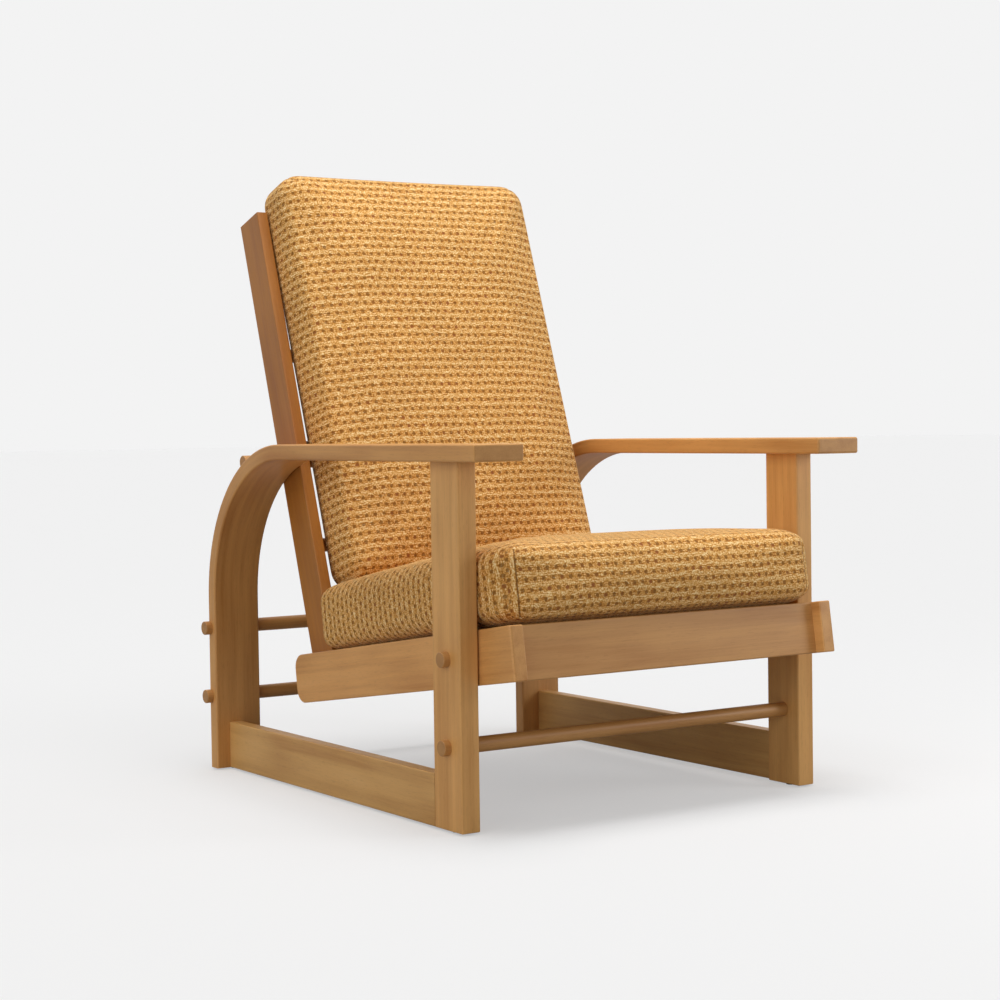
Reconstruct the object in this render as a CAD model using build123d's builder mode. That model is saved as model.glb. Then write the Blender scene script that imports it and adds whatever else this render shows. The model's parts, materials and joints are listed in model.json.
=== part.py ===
from build123d import *
from math import asin, atan2, cos, degrees, hypot, radians, sin, tan
import os

# Reclining lounge chair with bent arms, a hinged seat, a hinged ladder back and two loose cushions.
# Millimetres. +Z is up and the chair faces -Y. Left is -X, as seen from the front.
# The origin is on the floor, in the middle of the chair's width and depth.

os.makedirs("parts", exist_ok=True)

# Side frames
frame_width = 640.0  # over the outer faces of the front posts
post_thickness = 30.0  # across the chair
post_depth = 70.0  # front to back
post_edge = 2.5  # rounding of the posts' upright edges in front
post_rear_edge = 1.4  # and behind, where the foot rails meet them flush
arm_top_height = 534.0
arm_thickness = 24.0
arm_width = 80.0
arm_overhang = 23.5  # arm past the post's outer face
arm_nose = 78.0  # arm in front of the post
bend_start = 480.0  # from the post's front face to where the arm starts to bend down
bend_radius = 250.0  # outer face of the bend
arm_edge = 3.0
foot_rail_height = 75.0
foot_rail_thickness = 22.0
board_edge = 2.0  # rounding of the edges of rails and uprights
floor_foot_edge = 1.0
glide_diameter = 16.0
glide_height = 3.0
glide_edge = 0.8

# Round bars through the side frames
dowel_diameter = 22.0
peg_length = 10.5  # dowel end past the face that it comes out of
peg_edge = 1.2
low_dowel_height = 117.5
pivot_height = 239.0
high_rear_dowel_height = 233.0
low_rear_dowel_height = 120.5
rear_dowel_inset = 4.0  # dowel's axis in front of the legs' rear faces

# Seat frame, which turns on the upper front dowel
seat_slope = 8.6  # degrees, down to the rear
seat_side_gap = 2.0  # between post and seat rail
seat_rail_thickness = 22.0
seat_rail_height = 76.0
rail_above_pivot = 36.0  # rail's top edge above the pivot, square to the rail
rail_before_pivot = 115.5
rail_behind_pivot = 503.5
rail_tail_radius = 22.0
rail_nose_edge = 4.0
front_board_recess = 18.0
front_board_thickness = 19.0
rear_rail_thickness = 20.0
rear_rail_height = 50.0
rear_rail_gap = 6.0  # in front of the uprights' rounded feet
cleat_thickness = 20.0
cleat_height = 15.0
slat_count = 6
slat_width = 52.0
slat_thickness = 10.0
slat_edge = 1.0
slat_end_gap = 1.0

# Back frame, which turns on bolts through the tails of the seat rails
hinge_from_tail = 51.5
hinge_gap = 3.5  # between seat rail and upright
upright_thickness = 19.0
upright_depth = 65.0
upright_length = 772.0  # from the hinge to the square top
rung_count = 4
lowest_rung = 215.0  # from the hinge, along the upright
rung_over_bar = 17.0  # second rung, just above the support bar
top_rung_drop = 77.0  # top rung below the uprights' tops
rung_setback = 9.5  # rungs' axes behind the middle of the uprights
rung_tenon = 12.0
bar_angle = 32.2  # degrees round the bend, from its top, where the support bar rests
bar_rest_gap = 0.5  # bar above the plain bend at rest
bar_end_gap = 12.0  # bar's ends inside the arms' outer edges
bar_let_in = 16.0  # depth of the bar in the uprights' rear edges

# How the back reclines: the seat follows it, and the bar passes over shallow rests in the bends
recline_range = 12.0  # degrees at the hinge
seat_follow_share = 0.19  # of the recline
rest_count = 4
rest_depth = 1.5
rest_end_gap = 1.5  # rest past the bar's end

# Hinge bolts, screws and hidden dowels
bolt_diameter = 10.0
bolt_in_rail = 15.0
bolt_head_diameter = 17.0
bolt_head_height = 5.0
bolt_head_edge = 1.5
bolt_slot_width = 2.0
bolt_slot_depth = 1.6
washer_diameter = 28.0
screw_diameter = 4.0
screw_head_diameter = 8.0
screw_head_height = 2.6
screw_sink = 2.5  # screw heads under the skin of a round bar
bar_screw_length = 34.0
rear_dowel_screw_length = 22.0
slat_screw_length = 22.0
cleat_screw_length = 32.0
cleat_screw_count = 3
joint_dowel_diameter = 10.0
joint_dowel_length = 44.0
joint_dowel_spacing = 36.0
dowel_depth_share = 2 / 3  # of the bent board that the joint dowels go into
seat_dowel_diameter = 8.0
seat_dowel_length = 30.0
seat_dowel_spacing = 34.0
rear_rail_dowel_spacing = 24.0

# Cushions
cushion_side_gap = 4.0  # seat cushion's side to the post
cushion_front_setback = 8.0  # seat cushion behind the rails' front ends
cushion_rear_gap = 4.0  # seat cushion in front of the uprights
seat_cushion_edge = 102.0  # height of the sides, halfway to the rear
seat_cushion_crown = 19.0
seat_cushion_fall = 10.0  # lower at the rear than at the front
back_cushion_side_gap = 4.5
back_cushion_edge = 95.0
back_cushion_crown = 18.0
back_cushion_low = 140.0  # from the hinge, along the upright
back_cushion_high = 825.0
cushion_corner = 45.0
back_cushion_corner = 42.0
cushion_draw = 5.0  # how far the sides pull in between the corners
cushion_round = 26.0  # how far the faces draw in at the seams
# Height in shares of the side, and how far in from it in shares of cushion_round
side_level_shares = ((0.0, 0.55), (0.06, 0.2), (0.2, 0.0), (0.74, 0.0), (0.92, 0.24), (1.0, 0.55))
# Height in shares of the crown, and how far in from the side in shares of the half width
crown_level_shares = ((0.4, 0.17), (0.72, 0.32), (0.93, 0.52), (1.0, 0.74))

# Clearances
dowel_fit = 0.05  # glued or tight round joint, on the radius
running_fit = 0.08  # turning joint, on the radius
dowel_end_gap = 0.5  # hole deeper than the dowel in it
seat_touch = 0.3  # loose piece from what carries it
through = 2.0  # cutter past a face

# Places that follow from the sizes above. Distances back are from the posts' front faces.
dowel_radius = dowel_diameter / 2
post_outer = frame_width / 2
post_inner = post_outer - post_thickness
arm_outer = post_outer + arm_overhang
arm_inner = arm_outer - arm_width
arm_underside = arm_top_height - arm_thickness
post_back = post_depth / 2
leg_rear = bend_start + bend_radius
leg_front = leg_rear - arm_thickness
bend_height = arm_top_height - bend_radius
rear_dowel_back = leg_rear - rear_dowel_inset
slope = radians(seat_slope)
rail_outer = post_inner - seat_side_gap
rail_inner = rail_outer - seat_rail_thickness
rail_middle = rail_above_pivot - seat_rail_height / 2
rail_bottom = rail_above_pivot - seat_rail_height
upright_outer = rail_inner - hinge_gap
upright_inner = upright_outer - upright_thickness
hinge_along = rail_behind_pivot - hinge_from_tail
front_board_back = -rail_before_pivot + front_board_recess + front_board_thickness
rear_rail_rear = hinge_along - upright_depth / 2 - rear_rail_gap
rear_rail_front = rear_rail_rear - rear_rail_thickness
cleat_top = rail_above_pivot - slat_thickness


def from_pivot(along, above):
    """Distance back and height of a place on the seat frame, given along the rails and square to them."""
    back = post_back + along * cos(slope) + above * sin(slope)
    return back, pivot_height - along * sin(slope) + above * cos(slope)


hinge_back, hinge_height = from_pivot(hinge_along, rail_middle)

# The bar lies on the bend, and the uprights run from the hinge past it, which sets how far they lean
bar_reach = bend_radius + dowel_radius + bar_rest_gap
bar_back = bend_start + bar_reach * sin(radians(bar_angle))
bar_height = bend_height + bar_reach * cos(radians(bar_angle))
bar_behind = upright_depth / 2 + dowel_radius - bar_let_in
hinge_to_bar = hypot(bar_back - hinge_back, bar_height - hinge_height)
lean = atan2(bar_back - hinge_back, bar_height - hinge_height) - asin(bar_behind / hinge_to_bar)
bar_along = hinge_to_bar * cos(asin(bar_behind / hinge_to_bar))
bar_half_length = arm_outer - bar_end_gap


def from_hinge(along, ahead):
    """Distance back and height of a place on the back frame, given along the uprights and in front of them."""
    back = hinge_back + along * sin(lean) - ahead * cos(lean)
    return back, hinge_height + along * cos(lean) + ahead * sin(lean)


# The origin's place in depth: half way between the seat rails' lower front corners and the uprights' tops
front_reach = from_pivot(-rail_before_pivot, rail_bottom)[0]
rear_reach = from_hinge(upright_length, -upright_depth / 2)[0]
front_y = -(front_reach + rear_reach) / 2


def place(x, back, height):
    """Point in the chair's own frame."""
    return (x, front_y + back, height)


def seat_place(x, along, above):
    """Point on the seat frame."""
    return place(x, *from_pivot(along, above))


def back_place(x, along, ahead):
    """Point on the back frame."""
    return place(x, *from_hinge(along, ahead))


def side_plane(x):
    """Upright plane for a side view: first coordinate back from the posts' front faces, second up."""
    return Plane(origin=place(x, 0, 0), x_dir=(0, 1, 0), z_dir=(1, 0, 0))


def seat_side_plane(x):
    """Side view of the seat frame: first coordinate along the rails, second square above the pivot."""
    return Plane(origin=seat_place(x, 0, 0), x_dir=(0, cos(slope), -sin(slope)), z_dir=(1, 0, 0))


def back_side_plane(x):
    """Side view of the back frame: first coordinate up along the uprights, second in front of them."""
    return Plane(origin=back_place(x, 0, 0), x_dir=(0, sin(lean), cos(lean)), z_dir=(1, 0, 0))


def low_x(side, inner, thickness):
    """Lower X of a piece on one side of the chair."""
    return inner if side > 0 else -inner - thickness


def bore(places, direction, radius, length):
    """Cut a round hole, centred on each place, from the piece being made."""
    for middle in places:
        with Locations(Plane(origin=middle, z_dir=direction)):
            Cylinder(radius, length, mode=Mode.SUBTRACT)


def pins(places, direction, radius, length):
    """Add a round pin, centred on each place."""
    for middle in places:
        with Locations(Plane(origin=middle, z_dir=direction)):
            Cylinder(radius, length)


def screws(heads, direction, length):
    """Add countersunk screws that go in at the heads' places."""
    for head in heads:
        with Locations(Plane(origin=head, z_dir=direction)):
            Cylinder(screw_diameter / 2, length, align=(Align.CENTER, Align.CENTER, Align.MIN))
            Cone(
                screw_head_diameter / 2,
                screw_diameter / 2,
                screw_head_height,
                align=(Align.CENTER, Align.CENTER, Align.MIN),
            )


def screw_holes(heads, direction, length, sink=0.0):
    """Cut the holes for the same screws, with a way in of the head's size where they are sunk."""
    for head in heads:
        with Locations(Plane(origin=head, z_dir=direction)):
            Cylinder(
                screw_diameter / 2 + dowel_fit,
                length + dowel_end_gap,
                align=(Align.CENTER, Align.CENTER, Align.MIN),
                mode=Mode.SUBTRACT,
            )
            Cone(
                screw_head_diameter / 2 + dowel_fit,
                screw_diameter / 2 + dowel_fit,
                screw_head_height + dowel_fit,
                align=(Align.CENTER, Align.CENTER, Align.MIN),
                mode=Mode.SUBTRACT,
            )
            if sink > 0:
                Cylinder(
                    screw_head_diameter / 2 + dowel_fit,
                    sink + through,
                    align=(Align.CENTER, Align.CENTER, Align.MAX),
                    mode=Mode.SUBTRACT,
                )


def save(piece, name):
    """Label a finished piece and write it to its own file."""
    piece.part.label = name
    export_step(piece.part, f"parts/{name}.step")
    finished.append(piece.part)


finished = []
hands = ((-1, "left"), (1, "right"))
across = (1, 0, 0)
upward = (0, 0, 1)
rearward = (0, 1, 0)
forward = (0, -1, 0)

# Places of the hidden dowels and the screws, used by the pieces that they join
arm_dowels = {}
rail_dowels = {}
seat_dowels = {}
for side, hand in hands:
    post_x = side * (post_inner + post_thickness / 2)
    foot_rail_x = side * (post_outer - foot_rail_thickness / 2)
    foot_rail_middle = glide_height + foot_rail_height / 2
    halves = (-joint_dowel_spacing / 2, joint_dowel_spacing / 2)
    arm_dowels[hand] = [place(post_x, post_back + step, arm_underside) for step in halves]
    rail_dowels[hand] = [
        place(foot_rail_x, back, foot_rail_middle + step) for back in (post_depth, leg_front) for step in halves
    ]
    board_middle = front_board_back - front_board_thickness / 2
    rear_rail_middle = rear_rail_rear - rear_rail_thickness / 2
    seat_dowels[hand] = [
        seat_place(side * rail_inner, board_middle, rail_middle + step)
        for step in (-seat_dowel_spacing / 2, seat_dowel_spacing / 2)
    ] + [
        seat_place(side * rail_inner, rear_rail_middle, rail_above_pivot - rear_rail_height / 2 + step)
        for step in (-rear_rail_dowel_spacing / 2, rear_rail_dowel_spacing / 2)
    ]

# The arm dowels go as far into the arm as leaves a skin over them
arm_dowel_in_arm = dowel_depth_share * arm_thickness
arm_dowel_shift = arm_dowel_in_arm - joint_dowel_length / 2
# The foot rails' dowels stop short of the legs' rear faces
rail_dowel_in_leg = dowel_depth_share * arm_thickness
rail_dowel_shift = rail_dowel_in_leg - joint_dowel_length / 2


def shifted(point, back=0.0, up=0.0):
    """A point moved back and up."""
    return (point[0], point[1] + back, point[2] + up)


arm_dowel_middles = {hand: [shifted(p, up=arm_dowel_shift) for p in arm_dowels[hand]] for _, hand in hands}
rail_dowel_middles = {
    hand: [shifted(p, back=-rail_dowel_shift) for p in rail_dowels[hand][:2]]
    + [shifted(p, back=rail_dowel_shift) for p in rail_dowels[hand][2:]]
    for _, hand in hands
}

# Screws through the rear dowels into the legs
rear_dowel_heads = {
    height: [
        place(side * (arm_inner + arm_width / 2), rear_dowel_back + dowel_radius - screw_sink, height)
        for side, _ in hands
    ]
    for height in (high_rear_dowel_height, low_rear_dowel_height)
}
all_rear_dowel_heads = [head for heads in rear_dowel_heads.values() for head in heads]

# Screws through the support bar into the uprights
bar_screw_direction = (0, -cos(lean), sin(lean))
bar_screw_heads = [
    back_place(side * (upright_inner + upright_thickness / 2), bar_along, -bar_behind - dowel_radius + screw_sink)
    for side, _ in hands
]

# The slats share the room between the front board and the rear rail
slat_room = rear_rail_front - front_board_back
slat_pitch = slat_room / slat_count
slat_middles = [front_board_back + slat_pitch * (i + 0.5) for i in range(slat_count)]
slat_half_length = rail_inner - slat_end_gap
into_seat = (0, -sin(slope), -cos(slope))
slat_screw_heads = {
    hand: [seat_place(side * (rail_inner - cleat_thickness / 2), u, rail_above_pivot) for u in slat_middles]
    for side, hand in hands
}
cleat_screw_heads = {
    hand: [
        seat_place(
            side * (rail_inner - cleat_thickness),
            front_board_back + slat_pitch * round((i + 0.5) * slat_count / cleat_screw_count),
            cleat_top - cleat_height / 2,
        )
        for i in range(cleat_screw_count)
    ]
    for side, hand in hands
}


def turned(point, centre, angle):
    """A side view point (back, height) turned about a centre, rear side down."""
    back, height = point[0] - centre[0], point[1] - centre[1]
    return (
        centre[0] + back * cos(angle) + height * sin(angle),
        centre[1] - back * sin(angle) + height * cos(angle),
    )


def bar_on_bend(recline):
    """Angle round the bend, from its top, of the support bar at a recline of the back."""
    swung = turned((bar_back, bar_height), (hinge_back, hinge_height), recline)
    back, height = turned(swung, (post_back, pivot_height), seat_follow_share * recline)
    return atan2(back - bend_start, height - bend_height)


rest_angles = [bar_on_bend(radians(recline_range) * i / (rest_count - 1)) for i in range(rest_count)]
rest_cutter = dowel_radius + seat_touch
rest_reach = bend_radius + rest_cutter - rest_depth
rest_half_length = bar_half_length + rest_end_gap

# Bent arms: one flat board each, bent down behind the seat to make the rear leg
for side, hand in hands:
    with BuildPart() as bent_arm:
        with BuildSketch(side_plane(low_x(side, arm_inner, arm_width))):
            with BuildLine():
                start = (bend_start, arm_top_height)
                end = (leg_rear, bend_height)
                diagonal = bend_radius * sin(radians(45))
                inner_radius = bend_radius - arm_thickness
                inner_diagonal = inner_radius * sin(radians(45))
                Line((-arm_nose, arm_top_height), start)
                ThreePointArc(start, (bend_start + diagonal, bend_height + diagonal), end)
                Line(end, (leg_rear, glide_height))
                Line((leg_rear, glide_height), (leg_front, glide_height))
                Line((leg_front, glide_height), (leg_front, bend_height))
                ThreePointArc(
                    (leg_front, bend_height),
                    (bend_start + inner_diagonal, bend_height + inner_diagonal),
                    (bend_start, arm_underside),
                )
                Line((bend_start, arm_underside), (-arm_nose, arm_underside))
                Line((-arm_nose, arm_underside), (-arm_nose, arm_top_height))
            make_face()
        extrude(amount=arm_width)
        foot = bent_arm.faces().sort_by(Axis.Z)[0]
        edges_above_foot = bent_arm.edges() - foot.edges()
        fillet(edges_above_foot, arm_edge)
        # Shallow rests across the bend, closed at the arm's outer edge
        rest_middle = side * (arm_inner + rest_half_length) / 2
        rest_length = rest_half_length - arm_inner
        for angle in rest_angles:
            rest_axis = place(
                rest_middle - side * through / 2,
                bend_start + rest_reach * sin(angle),
                bend_height + rest_reach * cos(angle),
            )
            bore([rest_axis], across, rest_cutter, rest_length + through)
        # Housings for the rear dowels
        for height in rear_dowel_heads:
            bore([place(side * arm_inner, rear_dowel_back, height)], across, dowel_radius + dowel_fit, 4 * arm_width)
        screw_holes([h for h in all_rear_dowel_heads if h[0] * side > 0], forward, rear_dowel_screw_length, screw_sink)
        bore(arm_dowel_middles[hand], upward, joint_dowel_diameter / 2 + dowel_fit, joint_dowel_length + dowel_end_gap)
        bore(
            rail_dowel_middles[hand][2:],
            rearward,
            joint_dowel_diameter / 2 + dowel_fit,
            joint_dowel_length + dowel_end_gap,
        )
    save(bent_arm, f"{hand}_bent_arm")

# Front posts, from the floor to the underside of the arms
for side, hand in hands:
    with BuildPart() as front_post:
        with BuildSketch(side_plane(low_x(side, post_inner, post_thickness))):
            with Locations((post_back, (glide_height + arm_underside) / 2)):
                Rectangle(post_depth, arm_underside - glide_height)
            with Locations((post_back, low_dowel_height), (post_back, pivot_height)):
                Circle(dowel_radius + dowel_fit, mode=Mode.SUBTRACT)
        extrude(amount=post_thickness)
        upright_edges = front_post.edges().filter_by(Axis.Z).group_by(Axis.Y)
        fillet(upright_edges[0], post_edge)
        fillet(upright_edges[-1], post_rear_edge)
        chamfer(front_post.faces().sort_by(Axis.Z)[0].edges(), floor_foot_edge)
        bore(arm_dowel_middles[hand], upward, joint_dowel_diameter / 2 + dowel_fit, joint_dowel_length + dowel_end_gap)
        bore(
            rail_dowel_middles[hand][:2],
            rearward,
            joint_dowel_diameter / 2 + dowel_fit,
            joint_dowel_length + dowel_end_gap,
        )
    save(front_post, f"{hand}_front_post")

# Foot rails, between the posts and the rear legs
for side, hand in hands:
    with BuildPart() as foot_rail:
        foot_rail_inner = post_outer - foot_rail_thickness
        with BuildSketch(side_plane(low_x(side, foot_rail_inner, foot_rail_thickness))):
            with Locations(((post_depth + leg_front) / 2, glide_height + foot_rail_height / 2)):
                Rectangle(leg_front - post_depth, foot_rail_height)
        extrude(amount=foot_rail_thickness)
        fillet(foot_rail.edges().filter_by(Axis.Y), board_edge)
        bore(
            rail_dowel_middles[hand],
            rearward,
            joint_dowel_diameter / 2 + dowel_fit,
            joint_dowel_length + dowel_end_gap,
        )
    save(foot_rail, f"{hand}_foot_rail")

# Hidden dowels of the side frames
with BuildPart() as arm_joint_dowels:
    for middles in arm_dowel_middles.values():
        pins(middles, upward, joint_dowel_diameter / 2, joint_dowel_length)
save(arm_joint_dowels, "arm_joint_dowels")

with BuildPart() as rail_joint_dowels:
    for middles in rail_dowel_middles.values():
        pins(middles, rearward, joint_dowel_diameter / 2, joint_dowel_length)
save(rail_joint_dowels, "rail_joint_dowels")

# Four round bars tie the side frames together, and their ends show outside
cross_dowels = (
    ("lower_front_dowel", post_back, low_dowel_height, post_outer + peg_length),
    ("seat_pivot_dowel", post_back, pivot_height, post_outer + peg_length),
    ("upper_rear_dowel", rear_dowel_back, high_rear_dowel_height, arm_outer + peg_length),
    ("lower_rear_dowel", rear_dowel_back, low_rear_dowel_height, arm_outer + peg_length),
)
for name, back, height, half_length in cross_dowels:
    with BuildPart() as cross_dowel:
        pins([place(0, back, height)], across, dowel_radius, 2 * half_length)
        fillet(cross_dowel.edges().filter_by(GeomType.CIRCLE), peg_edge)
        if height in rear_dowel_heads and back == rear_dowel_back:
            screw_holes(rear_dowel_heads[height], forward, rear_dowel_screw_length, screw_sink)
    save(cross_dowel, name)

with BuildPart() as rear_dowel_screws:
    screws(all_rear_dowel_heads, forward, rear_dowel_screw_length)
save(rear_dowel_screws, "rear_dowel_screws")

# Glides under the posts and the rear legs
with BuildPart() as floor_glides:
    for side, hand in hands:
        for back in (post_back, leg_rear - arm_thickness / 2):
            glide_x = side * (post_inner + post_thickness / 2)
            with Locations(Plane(origin=place(glide_x, back, 0), z_dir=upward)):
                Cylinder(glide_diameter / 2, glide_height, align=(Align.CENTER, Align.CENTER, Align.MIN))
    chamfer(floor_glides.faces().group_by(Axis.Z)[0].edges(), glide_edge)
save(floor_glides, "floor_glides")

# Seat rails, whose front ends stand past the front board
for side, hand in hands:
    with BuildPart() as seat_rail:
        with BuildSketch(seat_side_plane(low_x(side, rail_inner, seat_rail_thickness))) as rail_profile:
            with Locations(((rail_behind_pivot - rail_before_pivot) / 2, rail_middle)):
                Rectangle(rail_before_pivot + rail_behind_pivot, seat_rail_height)
            tail = rail_profile.vertices().sort_by(Axis.X)[-2:]
            fillet(tail, rail_tail_radius)
        extrude(amount=seat_rail_thickness)
        nose = seat_rail.faces().sort_by(Axis.Y)[0]
        outer_arris = nose.edges().sort_by(Axis.X)[0 if side < 0 else -1]
        fillet(outer_arris, rail_nose_edge)
        flat_sides = seat_rail.faces().filter_by(Axis.X)
        fillet(flat_sides.edges(), board_edge)
        bore([seat_place(0, 0, 0)], across, dowel_radius + running_fit, 2 * frame_width)
        bolt_hole_middle = side * (rail_inner + (bolt_in_rail + dowel_end_gap) / 2)
        bore(
            [seat_place(bolt_hole_middle, hinge_along, rail_middle)],
            across,
            bolt_diameter / 2 + dowel_fit,
            bolt_in_rail + dowel_end_gap,
        )
        bore(seat_dowels[hand], across, seat_dowel_diameter / 2 + dowel_fit, seat_dowel_length + dowel_end_gap)
        screw_holes(cleat_screw_heads[hand], (side, 0, 0), cleat_screw_length)
    save(seat_rail, f"{hand}_seat_rail")

# Front board and rear rail of the seat
seat_boards = (
    ("seat_front_board", board_middle, rail_middle, front_board_thickness, seat_rail_height),
    (
        "seat_rear_rail",
        rear_rail_middle,
        rail_above_pivot - rear_rail_height / 2,
        rear_rail_thickness,
        rear_rail_height,
    ),
)
for name, along, above, thickness, height in seat_boards:
    with BuildPart() as seat_board:
        with BuildSketch(seat_side_plane(-rail_inner)):
            with Locations((along, above)):
                Rectangle(thickness, height)
        extrude(amount=2 * rail_inner)
        fillet(seat_board.edges().filter_by(Axis.X), board_edge)
        for joints in seat_dowels.values():
            bore(joints, across, seat_dowel_diameter / 2 + dowel_fit, seat_dowel_length + dowel_end_gap)
    save(seat_board, name)

# Cleats along the inside of the rails, which the slats lie on
for side, hand in hands:
    with BuildPart() as seat_cleat:
        with BuildSketch(seat_side_plane(low_x(side, rail_inner - cleat_thickness, cleat_thickness))):
            with Locations(((front_board_back + rear_rail_front) / 2, cleat_top - cleat_height / 2)):
                Rectangle(slat_room, cleat_height)
        extrude(amount=cleat_thickness)
        screw_holes(cleat_screw_heads[hand], (side, 0, 0), cleat_screw_length)
        screw_holes(slat_screw_heads[hand], into_seat, slat_screw_length)
    save(seat_cleat, f"{hand}_seat_cleat")

for number, middle in enumerate(slat_middles, start=1):
    with BuildPart() as seat_slat:
        with BuildSketch(seat_side_plane(-slat_half_length)):
            with Locations((middle, rail_above_pivot - slat_thickness / 2)):
                Rectangle(slat_width, slat_thickness)
        extrude(amount=2 * slat_half_length)
        fillet(seat_slat.edges().filter_by(Axis.X), slat_edge)
        for heads in slat_screw_heads.values():
            screw_holes([heads[number - 1]], into_seat, slat_screw_length)
    save(seat_slat, f"seat_slat_{number}")

with BuildPart() as slat_screws:
    for heads in slat_screw_heads.values():
        screws(heads, into_seat, slat_screw_length)
save(slat_screws, "slat_screws")

with BuildPart() as cleat_screws:
    for side, hand in hands:
        screws(cleat_screw_heads[hand], (side, 0, 0), cleat_screw_length)
save(cleat_screws, "cleat_screws")

with BuildPart() as seat_corner_dowels:
    for joints in seat_dowels.values():
        pins(joints, across, seat_dowel_diameter / 2, seat_dowel_length)
save(seat_corner_dowels, "seat_corner_dowels")

# Hinge bolts: in from the inner side of each upright, through a washer and into the seat rail
for side, hand in hands:
    with BuildPart() as hinge_bolt:
        head_face = upright_inner - seat_touch
        shank_length = rail_inner + bolt_in_rail - head_face
        hinge_x = side * (head_face + shank_length / 2)
        pins([seat_place(hinge_x, hinge_along, rail_middle)], across, bolt_diameter / 2, shank_length)
        head_x = side * (head_face - bolt_head_height / 2)
        pins([seat_place(head_x, hinge_along, rail_middle)], across, bolt_head_diameter / 2, bolt_head_height)
        inward_face = hinge_bolt.faces().sort_by(Axis.X)[-1 if side < 0 else 0]
        fillet(inward_face.edges(), bolt_head_edge)
        slot_x = side * (head_face - bolt_head_height)
        with Locations(Plane(origin=seat_place(slot_x, hinge_along, rail_middle), z_dir=across)):
            Box(2 * bolt_head_diameter, bolt_slot_width, 2 * bolt_slot_depth, mode=Mode.SUBTRACT)
    save(hinge_bolt, f"{hand}_hinge_bolt")

    with BuildPart() as hinge_washer:
        washer_thickness = hinge_gap - seat_touch
        washer_x = side * (rail_inner - washer_thickness / 2)
        washer_middle = seat_place(washer_x, hinge_along, rail_middle)
        pins([washer_middle], across, washer_diameter / 2, washer_thickness)
        bore([washer_middle], across, bolt_diameter / 2 + running_fit, 2 * washer_thickness)
    save(hinge_washer, f"{hand}_hinge_washer")

# Back uprights, rounded at the hinge and square at the top
second_rung = bar_along + rung_over_bar
rung_spacing = (upright_length - top_rung_drop - second_rung) / (rung_count - 2)
rung_places = [lowest_rung] + [second_rung + rung_spacing * i for i in range(rung_count - 1)]
for side, hand in hands:
    with BuildPart() as back_upright:
        with BuildSketch(back_side_plane(low_x(side, upright_inner, upright_thickness))):
            with Locations((upright_length / 2, 0)):
                Rectangle(upright_length, upright_depth)
            Circle(upright_depth / 2)
            Circle(bolt_diameter / 2 + running_fit, mode=Mode.SUBTRACT)
        extrude(amount=upright_thickness)
        outlines = back_upright.faces().filter_by(Axis.X)
        top_face = back_upright.faces().sort_by(Axis.Z)[-1]
        bolt_hole_edges = back_upright.edges().filter_by(GeomType.CIRCLE).sort_by(SortBy.RADIUS)[:2]
        fillet(outlines.edges() - top_face.edges() - bolt_hole_edges, board_edge)
        bore(
            [back_place(0, bar_along, -bar_behind)],
            across,
            dowel_radius + dowel_fit,
            2 * frame_width,
        )
        rung_holes = [
            back_place(side * (upright_inner + (rung_tenon + dowel_end_gap) / 2 - through / 2), along, -rung_setback)
            for along in rung_places
        ]
        bore(rung_holes, across, dowel_radius + dowel_fit, rung_tenon + dowel_end_gap + through)
        screw_holes(bar_screw_heads, bar_screw_direction, bar_screw_length, screw_sink)
    save(back_upright, f"{hand}_back_upright")

for number, along in enumerate(rung_places, start=1):
    with BuildPart() as back_rung:
        pins([back_place(0, along, -rung_setback)], across, dowel_radius, 2 * (upright_inner + rung_tenon))
    save(back_rung, f"back_rung_{number}")

with BuildPart() as back_support_bar:
    pins([back_place(0, bar_along, -bar_behind)], across, dowel_radius, 2 * bar_half_length)
    fillet(back_support_bar.edges().filter_by(GeomType.CIRCLE), peg_edge)
    screw_holes(bar_screw_heads, bar_screw_direction, bar_screw_length, screw_sink)
save(back_support_bar, "back_support_bar")

with BuildPart() as bar_screws:
    screws(bar_screw_heads, bar_screw_direction, bar_screw_length)
save(bar_screws, "bar_screws")


def cushion(base, half_length, half_width, corner, edge, crown, fall):
    """A box cushion: sides drawn in between rounded corners, faces rounded at the seams, one face crowned and falling."""
    levels = [(edge * rise, cushion_round * inset) for rise, inset in side_level_shares]
    levels += [(edge + crown * rise, min(half_length, half_width) * inset) for rise, inset in crown_level_shares]
    with BuildPart() as pad:
        for height, inset in levels:
            a = half_length - inset
            b = half_width - inset
            c = min(corner, a / 2, b / 2)
            k = c * (1 - sin(radians(45)))
            draw = min(cushion_draw, c / 2)
            tilt = atan2(min(height / edge, 1) * fall, 2 * half_length)
            with BuildSketch(base.offset(height).rotated((0, degrees(tilt), 0))):
                with BuildLine():
                    ThreePointArc((-a + c, b), (0, b - draw), (a - c, b))
                    ThreePointArc((a - c, b), (a - k, b - k), (a, b - c))
                    ThreePointArc((a, b - c), (a - draw, 0), (a, c - b))
                    ThreePointArc((a, c - b), (a - k, k - b), (a - c, -b))
                    ThreePointArc((a - c, -b), (0, draw - b), (c - a, -b))
                    ThreePointArc((c - a, -b), (k - a, k - b), (-a, c - b))
                    ThreePointArc((-a, c - b), (draw - a, 0), (-a, b - c))
                    ThreePointArc((-a, b - c), (k - a, b - k), (c - a, b))
                make_face()
        loft(ruled=True)
    return pad


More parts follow.
